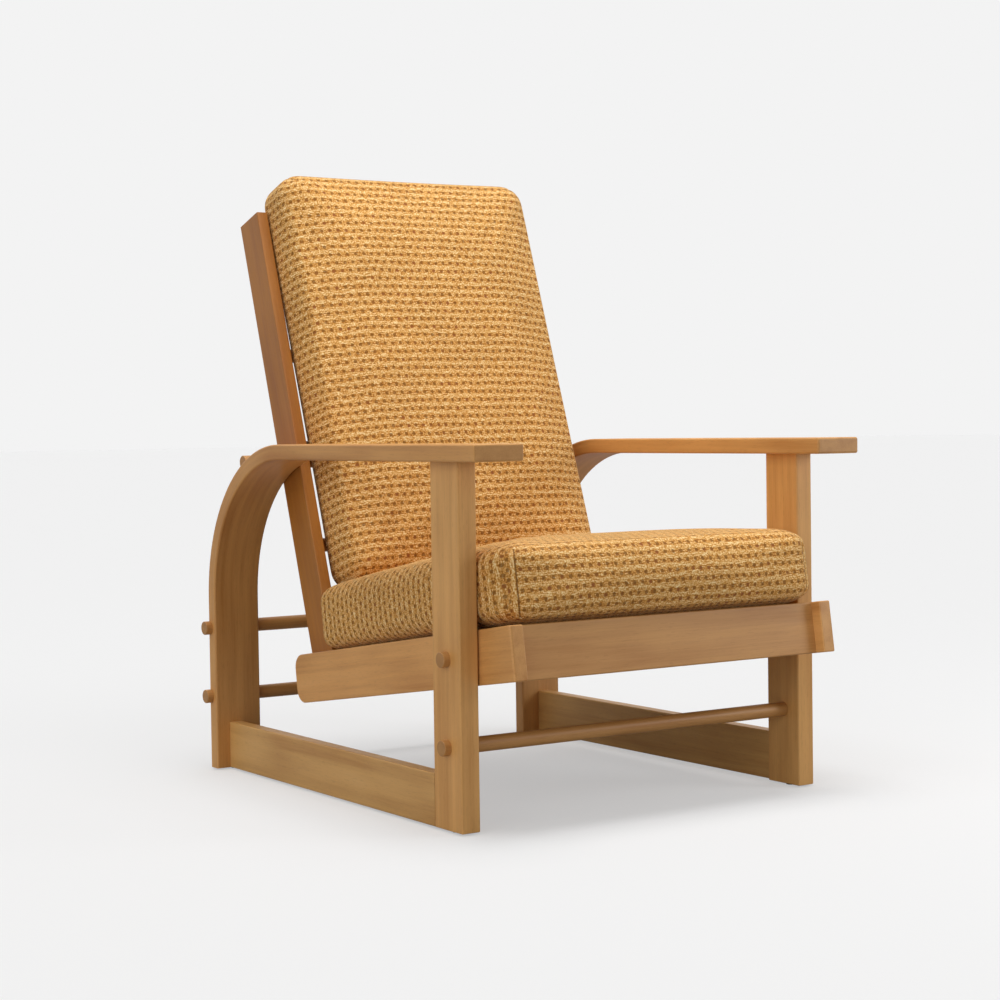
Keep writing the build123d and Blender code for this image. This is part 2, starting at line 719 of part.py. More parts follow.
# Seat cushion, on the slats and rails and between the posts
upright_tilt = lean - slope
front_line_at_rail = (
    hinge_along + (rail_above_pivot - rail_middle) * tan(upright_tilt) - upright_depth / 2 / cos(upright_tilt)
)
seat_cushion_front = -rail_before_pivot + cushion_front_setback
seat_cushion_rear = front_line_at_rail - cushion_rear_gap
seat_cushion_base = Plane(
    origin=seat_place(0, (seat_cushion_front + seat_cushion_rear) / 2, rail_above_pivot + seat_touch),
    x_dir=(0, cos(slope), -sin(slope)),
    z_dir=(0, sin(slope), cos(slope)),
)
seat_cushion = cushion(
    seat_cushion_base,
    (seat_cushion_rear - seat_cushion_front) / 2,
    post_inner - cushion_side_gap,
    cushion_corner,
    seat_cushion_edge,
    seat_cushion_crown,
    seat_cushion_fall,
)
save(seat_cushion, "seat_cushion")

# Back cushion, on the rungs and between the uprights, standing on the seat cushion
back_cushion_base = Plane(
    origin=back_place(0, (back_cushion_low + back_cushion_high) / 2, dowel_radius - rung_setback + seat_touch),
    x_dir=(0, sin(lean), cos(lean)),
    z_dir=(0, -cos(lean), sin(lean)),
)
back_cushion = cushion(
    back_cushion_base,
    (back_cushion_high - back_cushion_low) / 2,
    upright_inner - back_cushion_side_gap,
    back_cushion_corner,
    back_cushion_edge,
    back_cushion_crown,
    0,
)
save(back_cushion, "back_cushion")

box = Compound(children=finished).bounding_box()
print("pieces", len(finished))
print("lean", round(degrees(lean), 2), "hinge", hinge_back, hinge_height, "bar", bar_back, bar_height)
print("front_y", front_y, "hinge y", front_y + hinge_back, "pivot y", front_y + post_back)
print("box", box.min, box.max)
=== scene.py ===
# %% [markdown]
# # A reclining lounge chair in beech and woven cloth
#
# This lesson dresses a finished chair. The drawing gives every wooden board, bar and screw its exact place,
# so the frame is only loaded and given its finish. The two loose cushions are soft, so they are made here:
# each is a lattice bent into a box cushion, swelled by the cloth solver and sewn at its corners. All
# lengths are in metres, +Z is up and the chair faces -Y.

import json
import math

import bpy
import numpy as np
from mathutils import Matrix, Vector


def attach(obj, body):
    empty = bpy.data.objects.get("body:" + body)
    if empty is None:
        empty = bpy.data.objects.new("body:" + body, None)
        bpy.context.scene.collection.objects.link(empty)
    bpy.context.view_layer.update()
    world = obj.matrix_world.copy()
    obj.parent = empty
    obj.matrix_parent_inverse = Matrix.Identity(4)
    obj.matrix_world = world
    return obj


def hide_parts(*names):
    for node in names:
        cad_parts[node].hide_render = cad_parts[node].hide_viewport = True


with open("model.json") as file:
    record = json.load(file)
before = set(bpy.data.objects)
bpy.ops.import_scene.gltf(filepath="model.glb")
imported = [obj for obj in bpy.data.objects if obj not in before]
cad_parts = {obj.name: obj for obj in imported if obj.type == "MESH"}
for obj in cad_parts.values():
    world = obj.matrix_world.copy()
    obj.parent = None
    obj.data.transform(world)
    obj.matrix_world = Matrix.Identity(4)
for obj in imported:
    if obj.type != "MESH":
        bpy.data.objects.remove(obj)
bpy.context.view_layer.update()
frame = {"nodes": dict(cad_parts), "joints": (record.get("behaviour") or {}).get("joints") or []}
scene = bpy.context.scene

# %% [markdown]
# ## Places and directions
#
# The seat frame hangs on the upper front bar and slopes down to the rear. The back frame turns on bolts in
# the tails of the seat rails and leans back. The two hinge axes come from the frame itself, and the two
# angles from the drawing.

# %% Hinges and slopes
MM = 0.001
hinges = {joint["name"]: Vector(joint["pos_m"]) for joint in frame["joints"]}
seat_slope = math.radians(8.6)
back_lean = math.radians(17.95)
along_seat = Vector((0, math.cos(seat_slope), -math.sin(seat_slope)))
off_seat = Vector((0, math.sin(seat_slope), math.cos(seat_slope)))
along_back = Vector((0, math.sin(back_lean), math.cos(back_lean)))
off_back = Vector((0, -math.cos(back_lean), math.sin(back_lean)))
print("seat hinge", tuple(hinges["seat_tilt"]), "back hinge", tuple(hinges["back_recline"]))

# %% [markdown]
# ## Camera
#
# The chair is seen from its left front corner, from a little above the arms, through a long lens that keeps
# the upright lines nearly parallel. The camera's axes are worked out from its heading, its tilt and its
# slight roll, and put into the columns of its matrix: right, up and backward.

# %% Camera
lens_place = Vector((-1.8038, -2.6591, 0.5550))
heading, tilt, roll = (math.radians(a) for a in (33.72, -2.023, -0.789))
sight = Vector((math.sin(heading) * math.cos(tilt), math.cos(heading) * math.cos(tilt), math.sin(tilt)))
level_right = Vector((math.cos(heading), -math.sin(heading), 0))
level_up = level_right.cross(sight)
right = level_right * math.cos(roll) + level_up * math.sin(roll)
up = level_up * math.cos(roll) - level_right * math.sin(roll)
lens_data = bpy.data.cameras.new("camera")
lens_data.sensor_width = 36.0
lens_data.lens = 73.56
camera = bpy.data.objects.new("camera", lens_data)
turned = Matrix((right, up, -sight)).transposed().to_4x4()
camera.matrix_world = Matrix.Translation(lens_place) @ turned
scene.collection.objects.link(camera)
scene.camera = camera
scene.view_settings.view_transform = "Standard"
print("camera at", tuple(round(v, 3) for v in camera.location), "lens", lens_data.lens)

# %% [markdown]
# ## Colours and nodes
#
# Colours are written as sRGB hex values, as a paint chart gives them, and turned into the linear values
# that the renderer works with. One small function adds a node, sets it up and links its inputs, so that a
# material reads as a list of steps. It returns the output that the next step uses.


# %% Helpers for colours and nodes
def linear(hex_colour):
    """Linear RGBA of an sRGB hex colour.

    Each part c becomes c / 12.92 up to 0.04045, and above that ((c + 0.055) / 1.055)^2.4.
    """
    parts = [int(hex_colour[i : i + 2], 16) / 255 for i in (1, 3, 5)]
    return (*(c / 12.92 if c <= 0.04045 else ((c + 0.055) / 1.055) ** 2.4 for c in parts), 1.0)


def add(tree, kind, inputs=(), out=0, **settings):
    """Adds a shader node, sets it up, sets or links its inputs and returns one of its outputs, if it has any.

    An input goes by its name, or by its number where a node has several of one name. In MapRange, 1 and 2 are
    the range that comes in, and 3 and 4 the range that goes out.
    """
    node = tree.nodes.new("ShaderNode" + kind)
    for name, value in settings.items():
        setattr(node, name, value)
    for socket, value in dict(inputs).items():
        if isinstance(value, bpy.types.NodeSocket):
            tree.links.new(value, node.inputs[socket])
        else:
            node.inputs[socket].default_value = value
    return node.outputs[out] if node.outputs else node


def ramp(tree, factor, stops):
    """A colour ramp with (place, hex colour) stops."""
    output = add(tree, "ValToRGB", {"Fac": factor})
    elements = output.node.color_ramp.elements
    while len(elements) < len(stops):
        elements.new(1.0)
    for element, (place, colour) in zip(elements, stops):
        element.position = place
        element.color = linear(colour)
    return output


def new_material(name):
    """An empty node material: returns it, its node tree and its Principled shader."""
    material = bpy.data.materials.new(name)
    material.use_nodes = True
    tree = material.node_tree
    return material, tree, tree.nodes["Principled BSDF"]


# %% [markdown]
# ## Beech, satin lacquered
#
# The frame is beech under a honey coloured satin lacquer. Beech is close and even: it shows long faint
# fibres, slow changes of tone along each board, and short darker flecks where the rays are cut. Its fibres
# run along each board, so the pattern is laid out along the board's own direction. The coordinates are
# turned until their first axis runs along the board, and then stretched: a fibre is some 2 mm wide and 90
# mm long. The real flecks are 0.3 mm wide, too fine to show, so they are drawn 1 mm wide. On the bent arms
# the fibres follow the bend, so there the first coordinate is the distance along the board, round the bend,
# and the last one is the distance from the bend's centre.


# %% Directions of the grain
bend_centre = Vector((0, 0.147342, 0.284))
bend_middle_radius = 0.238
grain_turns = {
    "x": (0.0, 0.0, 0.0),
    "y": (0.0, 0.0, -math.pi / 2),
    "z": (-math.pi / 2, 0.0, -math.pi / 2),
    "seat": (seat_slope, 0.0, -math.pi / 2),
    "back": (back_lean - math.pi / 2, 0.0, -math.pi / 2),
}


def board_coordinates(tree, grain):
    """Object coordinates with the first axis along the grain, and how far a face points along it, 0 to 1."""
    place = add(tree, "TexCoord", out="Object")
    normal = add(tree, "TexCoord", out="Normal")
    if grain != "bend":
        turn = grain_turns[grain]
        turned = add(tree, "Mapping", {"Vector": place, "Rotation": turn}, vector_type="POINT")
        facing = add(tree, "Mapping", {"Vector": normal, "Rotation": turn}, vector_type="NORMAL")
        end = add(tree, "Math", {0: add(tree, "SeparateXYZ", {0: facing}, out="X")}, operation="ABSOLUTE")
        return turned, end
    from_centre = add(tree, "VectorMath", {0: place, 1: bend_centre}, operation="SUBTRACT")
    parts = add(tree, "SeparateXYZ", {0: from_centre}).node.outputs
    back = add(tree, "Math", {0: parts["Y"], 1: 0.0}, operation="MAXIMUM")
    above = add(tree, "Math", {0: parts["Z"], 1: 0.0}, operation="MAXIMUM")
    ahead = add(tree, "Math", {0: parts["Y"], 1: 0.0}, operation="MINIMUM")
    below = add(tree, "Math", {0: parts["Z"], 1: 0.0}, operation="MINIMUM")
    angle = add(tree, "Math", {0: back, 1: above}, operation="ARCTAN2")
    arc = add(tree, "Math", {0: angle, 1: bend_middle_radius, 2: ahead}, operation="MULTIPLY_ADD")
    run = add(tree, "Math", {0: arc, 1: below}, operation="SUBTRACT")
    flat = add(tree, "CombineXYZ", {"Y": back, "Z": above})
    depth = add(tree, "VectorMath", {0: flat}, out="Value", operation="LENGTH")
    turned = add(tree, "CombineXYZ", {"X": run, "Y": parts["X"], "Z": depth})
    # Along the board, the direction is (0, cos angle, -sin angle)
    cosine = add(tree, "Math", {0: angle}, operation="COSINE")
    sine = add(tree, "Math", {0: angle, 1: math.pi}, operation="ADD")
    sine = add(tree, "Math", {0: sine}, operation="SINE")
    direction = add(tree, "CombineXYZ", {"Y": cosine, "Z": sine})
    facing = add(tree, "VectorMath", {0: normal, 1: direction}, out="Value", operation="DOT_PRODUCT")
    return turned, add(tree, "Math", {0: facing}, operation="ABSOLUTE")


# %% Beech finish
def beech(name, grain, tone_and_shade):
    """Satin lacquered beech whose fibres run along the given direction, multiplied by a tone that is partly the
    board's own and partly painted light and shade.
    """
    material, tree, shader = new_material(name)
    place, end = board_coordinates(tree, grain)
    own = add(tree, "Math", {0: add(tree, "ObjectInfo", out="Random"), 1: 20.0}, operation="MULTIPLY")

    def stretched_noise(length, width, detail, distortion=0.0):
        """Noise whose spots are length along the grain and width across it, in metres."""
        scale = (1 / length, 1 / width, 1 / width)
        scaled = add(tree, "VectorMath", {0: place, 1: scale}, operation="MULTIPLY")
        inputs = {"Vector": scaled, "W": own, "Scale": 1.0, "Detail": detail, "Distortion": distortion}
        return add(tree, "TexNoise", inputs, noise_dimensions="4D")

    figure = stretched_noise(0.32, 0.017, 2.0, 0.35)
    fibres = stretched_noise(0.09, 0.0021, 2.0)
    flecks = stretched_noise(0.011, 0.0011, 0.0)
    clouds = stretched_noise(0.16, 0.06, 1.0)

    tone = add(tree, "Math", {0: fibres, 1: 0.2}, operation="MULTIPLY")
    tone = add(tree, "Math", {0: figure, 1: 0.5, 2: tone}, operation="MULTIPLY_ADD")
    tone = add(tree, "Math", {0: clouds, 1: 0.4, 2: tone}, operation="MULTIPLY_ADD")
    wood_tone = ramp(tree, tone, [(0.34, "#BE8241"), (0.5, "#D29B59"), (0.62, "#E0A964"), (0.76, "#E6B16D")])
    fleck_range = {0: flecks, 1: 0.62, 2: 0.74, 3: 0.0, 4: 0.13}
    dark_fleck = add(tree, "MapRange", fleck_range, interpolation_type="SMOOTHSTEP")
    flecked = add(tree, "MixRGB", {"Fac": dark_fleck, "Color1": wood_tone, "Color2": linear("#8A5A2B")})
    # End grain drinks more lacquer and goes darker
    cut = add(tree, "MapRange", {0: end, 1: 0.75, 2: 0.95, 3: 0.0, 4: 0.3}, interpolation_type="SMOOTHSTEP")
    ended = add(tree, "MixRGB", {"Fac": cut, "Color1": flecked, "Color2": linear("#8C6436")})
    # Painted light and shade: the tone of each board group, partly its real tone and partly standing in for the
    # light it gets, multiplies the wood
    both = {"Fac": 1.0, "Color1": ended, "Color2": linear(tone_and_shade)}
    toned_and_shaded = add(tree, "MixRGB", both, blend_type="MULTIPLY")
    tree.links.new(toned_and_shaded, shader.inputs["Base Color"])
    gloss = add(tree, "MapRange", {0: fibres, 1: 0.3, 2: 0.7, 3: 0.4, 4: 0.5})
    tree.links.new(gloss, shader.inputs["Roughness"])
    shader.inputs["Specular IOR Level"].default_value = 0.35
    shader.inputs["Coat Weight"].default_value = 0.08
    shader.inputs["Coat Roughness"].default_value = 0.3
    bump = add(tree, "Bump", {"Height": fibres, "Strength": 0.12, "Distance": 0.0003})
    tree.links.new(bump, shader.inputs["Normal"])
    return material


# Each group of boards is multiplied by its own tone: partly the boards' real difference in tone, partly painted
# light and shade for how brightly each group is lit; the darkest tone, on the uprights, is partly painted shade
board_tones_and_painted_shade = {
    "x": "#E0DAD8",
    "y": "#F1F7FA",
    "z": "#FFFFFF",
    "seat": "#FCF6F4",
    "back": "#C6AA72",
    "bend": "#F0EAE6",
}
wood = {grain: beech("satin_beech_" + grain, grain, tone_and_shade) for grain, tone_and_shade in board_tones_and_painted_shade.items()}
print("beech finishes:", sorted(wood))

# %% [markdown]
# ## Zinc plated steel and dark glides
#
# The screws and the hinge bolts are bright zinc plated steel, a metal with a soft grey shine and faint
# turning marks. The glides under the feet are dark moulded plastic, matt and slightly scuffed.


# %% Steel and glide finishes
def zinc():
    """Zinc plated steel with small dull spots."""
    material, tree, shader = new_material("zinc_plated_steel")
    place = add(tree, "TexCoord", out="Object")
    spots = add(tree, "TexNoise", {"Vector": place, "Scale": 900.0, "Detail": 2.0})
    tree.links.new(ramp(tree, spots, [(0.35, "#8F8D88"), (0.65, "#B7B4AC")]), shader.inputs["Base Color"])
    shader.inputs["Metallic"].default_value = 1.0
    dull = add(tree, "MapRange", {0: spots, 1: 0.3, 2: 0.7, 3: 0.3, 4: 0.48})
    tree.links.new(dull, shader.inputs["Roughness"])
    bump = add(tree, "Bump", {"Height": spots, "Strength": 0.1, "Distance": 0.0001})
    tree.links.new(bump, shader.inputs["Normal"])
    return material


def glide_plastic():
    """Dark moulded plastic, matt, with scuffs."""
    material, tree, shader = new_material("dark_moulded_glide")
    place = add(tree, "TexCoord", out="Object")
    scuffs = add(tree, "TexNoise", {"Vector": place, "Scale": 400.0, "Detail": 3.0})
    tree.links.new(ramp(tree, scuffs, [(0.4, "#1C1915"), (0.7, "#35302A")]), shader.inputs["Base Color"])
    shader.inputs["Roughness"].default_value = 0.6
    bump = add(tree, "Bump", {"Height": scuffs, "Strength": 0.2, "Distance": 0.0001})
    tree.links.new(bump, shader.inputs["Normal"])
    return material


steel, plastic = zinc(), glide_plastic()

# %% [markdown]
# ## Dressing the frame
#
# A drawn piece whose shape is right stays and only gets its finish. Each name is matched to the direction
# in which that board's fibres run.

# %% Finishes of the drawn pieces
grain_of = {
    "bend": ("left_bent_arm", "right_bent_arm"),
    "z": ("left_front_post", "right_front_post", "arm_joint_dowels"),
    "y": ("left_foot_rail", "right_foot_rail", "rail_joint_dowels"),
    "seat": ("left_seat_rail", "right_seat_rail", "left_seat_cleat", "right_seat_cleat"),
    "back": ("left_back_upright", "right_back_upright"),
}
finish_of = {name: wood[grain] for grain, names in grain_of.items() for name in names}
finish_of["floor_glides"] = plastic
for name, node in frame["nodes"].items():
    if "screws" in name or "hinge" in name:
        finish_of[name] = steel
    finish = finish_of.get(name, wood["x"])
    node.data.materials.clear()
    node.data.materials.append(finish)
print("dressed", len(frame["nodes"]), "drawn pieces")

# %% [markdown]
# ## Woven cloth
#
# The cushions are covered in a heavy honey coloured cloth. Rows of small brown dots cross it, 14 mm apart,
# and each row is set off by half a step from the one above. Between the rows lie bundles of finer gold and
# cream yarns. The pattern follows the surface, so it reads a UV map in metres: one coordinate runs along
# the rows and the other across them. The yarns are about 2 mm thick, a bit coarser than real, so that they
# show.

# %% Cloth finish
dot_pitch = 14.2 * MM
row_pitch = 14.1 * MM
dot_half_shares = (0.195, 0.19)  # of a cell, along and across the rows
waver_reach = 3.5 * MM
yarn_length, yarn_width = 11 * MM, 1.7 * MM
knot_length, knot_width = 2.6 * MM, 2.4 * MM
# Reach of the painted shade along each corner seam: full inside the first distance, none past the second
seam_shade_inner, seam_shade_outer = 0.6 * MM, 1.8 * MM


def woven_cloth():
    """Gold cloth with rows of brown dots, cream yarns between them and a soft nap."""
    material, tree, shader = new_material("gold_dotted_weave")
    flat = add(tree, "UVMap", uv_map="weave")
    # Hand and loom leave the rows slightly wavy
    waver = add(tree, "TexNoise", {"Vector": flat, "Scale": 30.0, "Detail": 1.0}, out="Color")
    waver = add(tree, "VectorMath", {0: waver, 1: (0.5, 0.5, 0.5)}, operation="SUBTRACT")
    waver = add(tree, "VectorMath", {0: waver, 1: (waver_reach, waver_reach, 0.0)}, operation="MULTIPLY")
    laid = add(tree, "VectorMath", {0: flat, 1: waver}, operation="ADD")
    cells = add(tree, "VectorMath", {0: laid, 1: (1 / dot_pitch, 1 / row_pitch, 0.0)}, operation="MULTIPLY")
    across, down = add(tree, "SeparateXYZ", {0: cells}).node.outputs[:2]
    row = add(tree, "Math", {0: down}, operation="FLOOR")
    shifted = add(tree, "Math", {0: row, 1: 0.5, 2: across}, operation="MULTIPLY_ADD")
    column = add(tree, "Math", {0: shifted}, operation="FLOOR")
    in_cell = add(tree, "Math", {0: shifted, 1: column}, operation="SUBTRACT")
    in_cell = add(tree, "Math", {0: in_cell, 1: 0.5}, operation="SUBTRACT")
    in_row = add(tree, "Math", {0: down, 1: row}, operation="SUBTRACT")
    in_row = add(tree, "Math", {0: in_row, 1: 0.5}, operation="SUBTRACT")
    cell_number = add(tree, "CombineXYZ", {"X": column, "Y": row})
    chance = add(tree, "TexWhiteNoise", {"Vector": cell_number}, noise_dimensions="3D")
    # A dot is a rounded square with a frayed rim, about 5 mm wide
    sides = []
    for place, half in zip((in_cell, in_row), dot_half_shares):
        side = add(tree, "Math", {0: place, 1: half}, operation="DIVIDE")
        side = add(tree, "Math", {0: side}, operation="ABSOLUTE")
        sides.append(add(tree, "Math", {0: side, 1: 2.5}, operation="POWER"))
    reach = add(tree, "Math", {0: sides[0], 1: sides[1]}, operation="ADD")
    fray = add(tree, "TexNoise", {"Vector": laid, "Scale": 420.0, "Detail": 2.0})
    reach = add(tree, "Math", {0: fray, 1: 2.2, 2: reach}, operation="MULTIPLY_ADD")
    rim = {0: reach, 1: 2.9, 2: 1.4, 3: 0.0, 4: 1.0}
    dot = add(tree, "MapRange", rim, interpolation_type="SMOOTHSTEP")
    strength = add(tree, "MapRange", {0: chance, 3: 0.65, 4: 1.0})
    dot = add(tree, "Math", {0: dot, 1: strength}, operation="MULTIPLY")
    # Yarns: long thin streaks along the rows, crossed by short ones
    yarn_scale = (1 / yarn_length, 1 / yarn_width, 0.0)
    streak_place = add(tree, "VectorMath", {0: laid, 1: yarn_scale}, operation="MULTIPLY")
    streaks = add(tree, "TexNoise", {"Vector": streak_place, "Scale": 1.0, "Detail": 3.0, "Roughness": 0.65})
    knot_scale = (1 / knot_length, 1 / knot_width, 0.0)
    knot_place = add(tree, "VectorMath", {0: laid, 1: knot_scale}, operation="MULTIPLY")
    knots = add(tree, "TexNoise", {"Vector": knot_place, "Scale": 1.0, "Detail": 1.0})
    off_row = add(tree, "Math", {0: in_row}, operation="ABSOLUTE")
    row_range = {0: off_row, 1: 0.16, 2: 0.4, 3: -0.07, 4: -0.01}
    row_shade = add(tree, "MapRange", row_range, interpolation_type="SMOOTHSTEP")
    light = add(tree, "Math", {0: streaks, 1: 0.62, 2: row_shade}, operation="MULTIPLY_ADD")
    light = add(tree, "Math", {0: knots, 1: 0.48, 2: light}, operation="MULTIPLY_ADD")
    yarn = ramp(tree, light, [(0.37, "#96581A"), (0.46, "#C4873B"), (0.54, "#DEA85D"), (0.64, "#F9DFA8")])
    dot_tone = ramp(tree, chance, [(0.0, "#6B3E0C"), (0.7, "#85551A"), (1.0, "#96582A")])
    cloth = add(tree, "MixRGB", {"Fac": dot, "Color1": yarn, "Color2": dot_tone})
    # Slow changes of dye and wear over a hand's breadth
    dye = add(tree, "TexNoise", {"Vector": flat, "Scale": 9.0, "Detail": 2.0})
    worn = add(tree, "MapRange", {0: dye, 1: 0.3, 2: 0.7, 3: 0.94, 4: 1.05})
    cloth = add(tree, "VectorMath", {0: cloth, "Scale": worn}, operation="SCALE")
    # Painted shade: the cloth is darkened along the stitched line of each corner seam, where the seam's crease
    # lies in shade
    seam = add(tree, "Attribute", out="Fac", attribute_name="to_seam")
    painted_seam_shade = add(tree, "MapRange", {0: seam, 1: seam_shade_inner, 2: seam_shade_outer, 3: 0.75, 4: 0.0})
    cloth = add(tree, "MixRGB", {"Fac": painted_seam_shade, "Color1": cloth, "Color2": linear("#6A4116")})
    tree.links.new(cloth, shader.inputs["Base Color"])
    shader.inputs["Roughness"].default_value = 0.85
    shader.inputs["Specular IOR Level"].default_value = 0.25
    shader.inputs["Sheen Weight"].default_value = 0.35
    shader.inputs["Sheen Tint"].default_value = linear("#F5DAA6")
    shader.inputs["Sheen Roughness"].default_value = 0.35
    height = add(tree, "Math", {0: dot, 1: -0.7, 2: light}, operation="MULTIPLY_ADD")
    bump = add(tree, "Bump", {"Height": height, "Strength": 0.6, "Distance": 0.0015})
    tree.links.new(bump, shader.inputs["Normal"])
    return material


cloth_finish = woven_cloth()
print("cloth rows every", round(row_pitch, 4), "m")

# %% [markdown]
# ## The form of a box cushion
#
# A box cushion is a soft block: rounded at its edges, rounder at its corners, crowned on the side that is
# sat on, and drawn in a little between its corners. It starts as a lattice on the faces of a block. Each
# point is moved from the block to the nearest point of a smaller inner block plus a rounding, which bends
# the lattice round all edges with no break. The lattice keeps its rows and columns, so the cloth's pattern
# can be laid along them.


# %% Lattice on a block
def block_lattice(counts):
    """A welded lattice on the six faces of a block with counts cells each way.

    Each face is the grid of corners over two of the three directions. Corners that faces share get one
    number: the corner (i, j, k) is i + j * (nx + 1) + k * (nx + 1) * (ny + 1), and each number is kept once.
    Returns the corners, the quads with their outward order, the face of each quad and the corners of each quad.
    """
    steps = np.array([1, counts[0] + 1, (counts[0] + 1) * (counts[1] + 1)])
    quads, faces = [], []
    for face, (u, v, w, outward) in enumerate(
        ((0, 1, 2, 1), (0, 1, 2, 0), (1, 2, 0, 1), (1, 2, 0, 0), (2, 0, 1, 1), (2, 0, 1, 0))
    ):
        a, b = np.meshgrid(np.arange(counts[u]), np.arange(counts[v]), indexing="ij")
        a, b = a.ravel(), b.ravel()
        ring = np.zeros((len(a), 4, 3), int)
        turns = ((0, 0), (1, 0), (1, 1), (0, 1))
        for corner, (da, db) in enumerate(turns if outward else turns[::-1]):
            ring[:, corner, u] = a + da
            ring[:, corner, v] = b + db
            ring[:, corner, w] = counts[w] * outward
        quads.append(ring)
        faces.append(np.full(len(a), face))
    rings = np.concatenate(quads)
    keys, numbers = np.unique(rings @ steps, return_inverse=True)
    corners = np.stack([keys % steps[1], keys % steps[2] // steps[1], keys // steps[2]], 1)
    return corners, numbers.reshape(-1, 4), np.concatenate(faces), rings


# %% Cushion form
def cushion_points(corners, counts, half, thickness, corner_round, edge_round, crown, flatness, draw):
    """The lattice bent into a cushion lying on z = 0.

    A corner's place p in the block is held to an inner block, giving q. The step d = (p - q) / r, with r the
    rounding each way, is made one long, and the point is q + r * d. Seen on its face, the cushion is rounded
    by corner_round[0] at the end where y is lowest, and evenly on to corner_round[1] at the other. The crown
    adds its height times (1 - |x/a|^n) times (1 - |y/b|^n) to the upper face, with n the flatness. The long
    sides are drawn in by (1 - (y/b)^2) |x/a|^3 of the draw, and the ends likewise.
    """
    share = corners / np.array(counts)
    block = np.array([2 * half[0], 2 * half[1], thickness])
    p = share * block - np.array([half[0], half[1], 0.0])
    rise = np.where(share[:, 2] > 0.5, edge_round[1], edge_round[0])
    plan = corner_round[0] + (corner_round[1] - corner_round[0]) * share[:, 1]
    r = np.stack([plan, plan, rise], 1)
    low = np.stack([plan - half[0], plan - half[1], np.full(len(p), edge_round[0])], 1)
    high = np.stack([half[0] - plan, half[1] - plan, np.full(len(p), thickness - edge_round[1])], 1)
    q = np.clip(p, low, high)
    d = (p - q) / r
    d /= np.maximum(np.linalg.norm(d, axis=1, keepdims=True), 1e-9)
    points = q + r * d
    x, y = points[:, 0] / half[0], points[:, 1] / half[1]
    dome = np.clip(1 - np.abs(x) ** flatness, 0, 1) * np.clip(1 - np.abs(y) ** flatness, 0, 1)
    upper = np.clip(2 * points[:, 2] / thickness - 1, 0, 1)
    points[:, 2] += crown * dome * upper
    points[:, 0] -= np.sign(x) * draw * (1 - y**2) * np.abs(x) ** 3
    points[:, 1] -= np.sign(y) * draw * (1 - x**2) * np.abs(y) ** 3
    return points


def lattice_arcs(corners, counts, points):
    """Distances along the cushion's middle lines, one list each way: the sums of steps between lattice lines.

    The first two run over the upper face through its middle, and the third runs up the middle of one side.
    """
    middle = [c // 2 for c in counts]
    along_face = {1: middle[1], 2: counts[2]}
    across_face = {0: middle[0], 2: counts[2]}
    up_side = {0: counts[0], 1: middle[1]}
    arcs = []
    for way, fixed in enumerate((along_face, across_face, up_side)):
        on_line = np.all([corners[:, axis] == value for axis, value in fixed.items()], axis=0)
        line = points[on_line][np.argsort(corners[on_line, way])]
        steps = np.linalg.norm(np.diff(line, axis=0), axis=1)
        arcs.append(np.concatenate([[0.0], np.cumsum(steps)]))
    arcs[0] -= arcs[0][middle[0]]
    arcs[1] -= arcs[1][middle[1]]
    return arcs


# %% [markdown]
# The cover is one panel that comes over the edges and down all sides. The cloth of the two long sides goes
# on a little way round each corner, and there an upright seam joins it to the cloth of the end. The map of
# the cloth does the same: on a side it goes on from the face's edge by the distance down the side, and the
# last few cells at either side of an end belong to the side's cloth, so the rows of dots turn at the seam.


# %% Cloth map
wrapped_cells = 3


def cloth_map(rings, faces, counts, arcs):
    """UV of each quad corner in metres: distances over the face, on down the sides and round to the seams."""
    x, y = arcs[0][rings[..., 0]], arcs[1][rings[..., 1]]
    down = arcs[2][-1] - arcs[2][rings[..., 2]]
    uv = np.stack([x, y], -1)
    face = faces[:, None]
    uv[..., 0] += np.where(face == 2, down, 0) - np.where(face == 3, down, 0)
    uv[..., 1] += np.where(face == 4, down, 0) - np.where(face == 5, down, 0)
    column = rings[..., 0].mean(axis=1)
    for hand, wrapped in ((-1, column < wrapped_cells), (1, column > counts[0] - wrapped_cells)):
        on_end = wrapped & (faces >= 4)
        round_corner = arcs[0][-1] - hand * x[on_end]
        uv[on_end, :, 0] = hand * (arcs[0][-1] + down[on_end])
        uv[on_end, :, 1] = np.sign(y[on_end]) * (arcs[1][-1] + round_corner)
    return uv


# %% Make a cushion mesh
corner_hold_reach = 40 * MM
base_hold, edge_hold = 0.6, 0.5


def place_points(points, origin, along, outward):
    """Cushion coordinates (across, along, off the frame) as points of the chair."""
    axes = np.array([(1.0, 0.0, 0.0), tuple(along), tuple(outward)])
    return points @ axes + np.array(origin)


